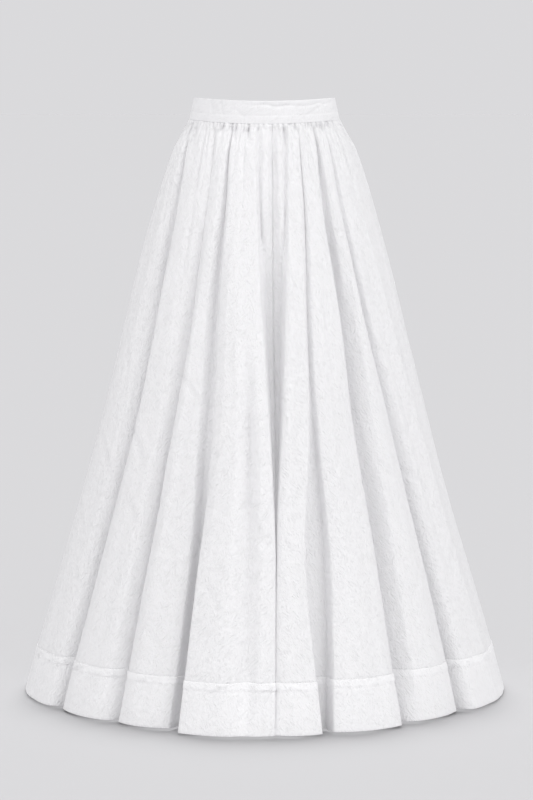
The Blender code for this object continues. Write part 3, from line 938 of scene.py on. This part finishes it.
hemSteps = np.linspace(0.0, 1.0, hemPlan["rows"]) ** hemPlan["crowding"]
hemDrops = fall["hemSeamDrop"] + hemSteps * (fall["hemDrop"] - fall["hemSeamDrop"])
hemPoints, hemWidths = clothSurface(hemDrops, hemPlan["lift"])
below = (hemDrops - fall["hemSeamDrop"])[:, None]
hemPoints = hemPoints + outwardOf(hemPoints) * hemRelief(below, hemWidths)[..., None]
for quarter, (first, end, waistCut, hemCut) in panelPlan["quarters"].items():
    columns = quarterColumns(first, end)
    places = clothPlaces(hemPoints[:, columns], hemCut, hemCut, hemDrops)
    hem = sheetMesh("hemband_" + quarter, hemPoints[:, columns], places, hemDrops)
    growWall(hem, hemPlan["thickness"], hemPlan["rounded"])
    hem.data.materials.append(cotton["hemCotton"])
    garment.append(hem)
    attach(hem, "root")
    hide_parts("hem_" + quarter)
print("hem band sewn on")

bandPlan = {
    "topHeight": 0.0190,
    "topWidth": 0.1206,
    "topDepth": 0.0945,
    "topDip": 0.0055,
    "bottomWidth": 0.1282,
    "bottomDepth": 0.1005,
    "closureTurn": 80.0,
    "closureGap": 0.0004,
    "columns": 420,
    "rows": 26,
    "thickness": 0.0024,
    "rounded": 0.0008,
    "stripHeight": 0.0140,
    "grooveDepth": 0.0005,
    "grooveWidth": 0.0013,
    "stripRise": 0.0004,
    "creasing": 1.3,
    "crumple": 0.15,
    "stripEdge": 0.0015,
    "creaseWaver": (0.0015, 140.0),  # how far a crease wavers, and how often
    "flat": (0.71, 0.0395),
}

# Shallow creases of the waistband: turn at its middle, height as a share from the top, length,
# slope, depth, width
bandCreases = [
    (-8, 0.20, 0.070, 0.03, 0.0009, 0.0022),
    (10, 0.24, 0.050, -0.05, 0.0006, 0.0024),
    (38, 0.20, 0.090, -0.04, 0.0008, 0.0022),
    (34, 0.44, 0.030, -0.95, 0.0006, 0.0024),
    (-44, 0.40, 0.036, 0.75, 0.0006, 0.0026),
    (-56, 0.34, 0.030, 0.80, 0.0006, 0.0024),
    (-26, 0.55, 0.040, 0.35, 0.0005, 0.0026),
    (60, 0.52, 0.030, -0.50, 0.0005, 0.0026),
    (120, 0.30, 0.060, 0.10, 0.0007, 0.0024),
    (165, 0.26, 0.080, 0.04, 0.0008, 0.0024),
    (205, 0.46, 0.036, -0.70, 0.0006, 0.0026),
    (245, 0.28, 0.060, -0.08, 0.0007, 0.0024),
]


def bandSurface(share, turn):
    # share runs from 0 at the band's top edge to 1 at the gathered seam
    halfWidth = bandPlan["topWidth"] + (bandPlan["bottomWidth"] - bandPlan["topWidth"]) * share
    halfDepth = bandPlan["topDepth"] + (bandPlan["bottomDepth"] - bandPlan["topDepth"]) * share
    top = bandPlan["topHeight"] - bandPlan["topDip"] * np.cos(turn) ** 2
    height = top + (seamHeightAt(turn) - top) * share
    return np.stack([halfWidth * np.sin(turn), -halfDepth * np.cos(turn), height], -1)


def bandRelief(share, widths, centreWidths):
    tall = bandPlan["flat"][1]
    above = (1.0 - share) * tall - bandPlan["stripHeight"]
    waver, waverRate = bandPlan["creaseWaver"]
    relief = bandPlan["stripRise"] * (1.0 - ease(above / bandPlan["stripEdge"] + 0.5))
    relief = relief - bandPlan["grooveDepth"] * np.exp(-((above / bandPlan["grooveWidth"]) ** 2))
    for (turn, height, length, slope, depth, width), centre in zip(bandCreases, centreWidths):
        side = widths - centre
        down = (share - height) * tall - slope * side - waver * np.sin(side * waverRate)
        fade = np.exp(-((2.0 * side / length) ** 4))
        relief = relief - bandPlan["creasing"] * depth * fade * np.exp(-((down / width) ** 2))
    return relief


closure = math.radians(bandPlan["closureTurn"])
gapTurn = bandPlan["closureGap"] / bandPlan["bottomDepth"]
turns = np.linspace(closure + gapTurn / 2 - fullTurn, closure - gapTurn / 2, bandPlan["columns"])
shares = np.linspace(0.0, 1.0, bandPlan["rows"])
bandPoints = bandSurface(shares[:, None], turns[None, :])
bandSteps = np.linalg.norm(np.diff(bandPoints, axis=1), axis=-1)
bandWidths = np.concatenate([np.zeros((len(shares), 1)), np.cumsum(bandSteps, axis=1)], axis=1)
creaseTurns = np.radians([row[0] for row in bandCreases])
creaseTurns = np.where(creaseTurns > closure, creaseTurns - fullTurn, creaseTurns)
centreWidths = [np.interp(turn, turns, bandWidths[-1]) for turn in creaseTurns]
bandNormals = np.cross(np.gradient(bandPoints, axis=0), np.gradient(bandPoints, axis=1))
bandNormals /= np.linalg.norm(bandNormals, axis=-1, keepdims=True)
bandLift = bandRelief(shares[:, None], bandWidths, centreWidths)
bandLift = bandLift + bandPlan["crumple"] * crumpleRelief(bandPoints)
bandPoints = bandPoints + bandNormals * bandLift[..., None]
waistband = sheetMesh("waist_strip", bandPoints, bandWidths, shares * bandPlan["flat"][1])
growWall(waistband, bandPlan["thickness"], bandPlan["rounded"])
waistband.data.materials.append(cotton["bandCotton"])
garment.append(waistband)
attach(waistband, "root")
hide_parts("waistband")
print("waistband closed")

studio = {
    "floorGap": 0.003,
    "floorSize": 400.0,
    "backdrop": (0.7045, 0.701, 0.716),
    "ceiling": 0.46,  # how bright the sky is overhead
    "ceilingFrom": 0.08,
    "ceilingTo": 0.50,
    "distance": 5.2,
    "cameraHeight": 0.0165,
    "cameraSide": 0.0036,
    "pitch": 5.673,
    "lens": 136.35,
    "clipEnd": 500.0,
    "lampHeight": 3.0,
    "skySteps": 2001,
}

# Soft lamps on the skirt: strength, size in degrees, tilt from overhead, turn to the right of
# the camera
lampRows = {
    "softRight": (1.555, 56.0, 52.0, 57.5),
    "softLeft": (1.26, 56.0, 52.0, -57.0),
    "softFront": (0.10, 40.0, 66.0, 4.0),
}
# The floor has two lamps of its own: one from behind that only the hem shades, which leaves a
# soft shadow in front of it, and one from overhead that the whole skirt shades
floorRows = {
    "floorBehind": (2.70, 50.0, 45.0, 180.0),
    "floorOverhead": (0.50, 110.0, 0.0, 0.0),
}


def ceilingLight():
    # what the sky alone sheds on the floor: the backdrop's tone low down, brighter overhead
    low, high = studio["ceilingFrom"], studio["ceilingTo"]
    heights = np.linspace(0.0, 1.0, studio["skySteps"])
    rise = np.clip((heights - low) / (high - low), 0.0, 1.0)
    tone = np.array(studio["backdrop"])[None, :]
    radiance = tone + (studio["ceiling"] - tone) * rise[:, None]
    return np.mean(radiance * 2.0 * heights[:, None], axis=0)


fromLamps = sum(row[0] * math.cos(math.radians(row[2])) for row in floorRows.values()) / math.pi
floorTone = np.array(studio["backdrop"]) / (ceilingLight() + fromLamps)
matt = {"Base Color": (*floorTone, 1), "Roughness": 1.0, "Specular IOR Level": 0.0, "IOR": 1.0}

bpy.ops.mesh.primitive_plane_add(size=studio["floorSize"], location=(0, 0, cadLow.z - studio["floorGap"]))
floor = bpy.context.object
floor.name = "studio_floor"
floorPaint = bpy.data.materials.new("studioGrey")
floorPaint.use_nodes = True
floorShader = floorPaint.node_tree.nodes["Principled BSDF"]
for socket, value in matt.items():
    floorShader.inputs[socket].default_value = value
floor.data.materials.append(floorPaint)

world = bpy.data.worlds.new("studio")
bpy.context.scene.world = world
world.use_nodes = True
skyTree = world.node_tree
direction = skyTree.nodes.new("ShaderNodeTexCoord")
upward = wired(skyTree, "SeparateXYZ", {"Vector": direction.outputs["Generated"]}).outputs["Z"]
skyTones = {
    0: scaled(skyTree, upward, studio["ceilingFrom"], studio["ceilingTo"]),
    6: (*studio["backdrop"], 1), 7: (studio["ceiling"],) * 3 + (1,),
}
skyTone = wired(skyTree, "Mix", skyTones, data_type="RGBA")
skyTree.links.new(skyTone.outputs[2], skyTree.nodes["Background"].inputs["Color"])

garmentLit = bpy.data.collections.new("garmentLit")
floorLit = bpy.data.collections.new("floorLit")
hemShade = bpy.data.collections.new("hemShade")
for piece in garment:
    garmentLit.objects.link(piece)
    if piece.name.startswith("hemband"):
        hemShade.objects.link(piece)
floorLit.objects.link(floor)


def hangLamp(name, energy, spread, tilt, turn, lights, shades):
    bpy.ops.object.light_add(type="SUN", location=(0, 0, studio["lampHeight"]))
    lamp = bpy.context.object
    lamp.name = name
    lamp.data.energy = energy
    lamp.data.angle = math.radians(spread)
    lamp.rotation_euler = (math.radians(tilt), 0, math.radians(turn))
    lamp.light_linking.receiver_collection = lights
    lamp.light_linking.blocker_collection = shades


for lampName, (energy, spread, tilt, turn) in lampRows.items():
    hangLamp(lampName, energy, spread, tilt, turn, garmentLit, garmentLit)
hangLamp("floorBehind", *floorRows["floorBehind"], floorLit, hemShade)
hangLamp("floorOverhead", *floorRows["floorOverhead"], floorLit, garmentLit)

bpy.ops.object.camera_add(
    location=(studio["cameraSide"], -studio["distance"], studio["cameraHeight"]),
    rotation=(math.radians(90.0 - studio["pitch"]), 0, 0),
)
camera = bpy.context.object
camera.data.lens = studio["lens"]
camera.data.clip_end = studio["clipEnd"]
bpy.context.scene.camera = camera
bpy.context.scene.view_settings.view_transform = "Standard"
print("studio lit")
